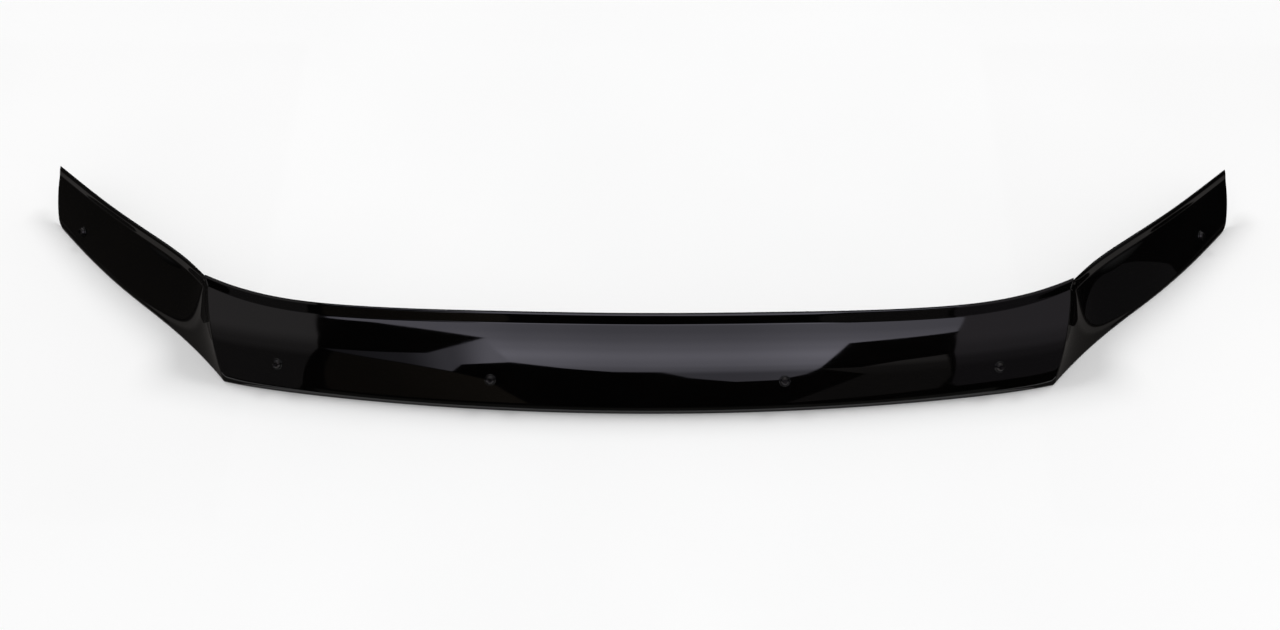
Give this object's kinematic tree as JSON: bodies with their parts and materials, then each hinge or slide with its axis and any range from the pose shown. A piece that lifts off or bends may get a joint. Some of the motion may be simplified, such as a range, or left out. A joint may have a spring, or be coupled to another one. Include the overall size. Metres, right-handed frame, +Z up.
{
  "type": "hood bug deflector",
  "caption": "Wrap-around hood bug deflector: dark smoke acrylic shield with flared lip, creased wings and screwed hood clips behind it",
  "frame": {"origin": "under the middle of the shield's box, in the plane of its lower edge", "axes": "+X across the vehicle, -Y forward, +Z up"},
  "size_m": [1.463, 0.3763, 0.0923],
  "materials": {
    "shield": "very dark smoke acrylic sheet, polished",
    "screw": "black oxide steel",
    "washer": "black nylon",
    "nut": "zinc-plated steel",
    "clip": "black coated spring steel strip",
    "spacer": "black rubber",
    "liner": "soft black rubber sleeve"
  },
  "bodies": {
    "root": {"clip_1": "clip", "clip_2": "clip", "clip_3": "clip", "clip_4": "clip", "clip_5": "clip", "clip_6": "clip", "liner_1": "liner", "liner_2": "liner", "liner_3": "liner", "liner_4": "liner", "liner_5": "liner", "liner_6": "liner", "mounting_screws": "screw", "nuts": "nut", "shield": "shield", "spacer_1": "spacer", "spacer_2": "spacer", "spacer_3": "spacer", "spacer_4": "spacer", "spacer_5": "spacer", "spacer_6": "spacer", "washers": "washer"}
  },
  "joints": []
}
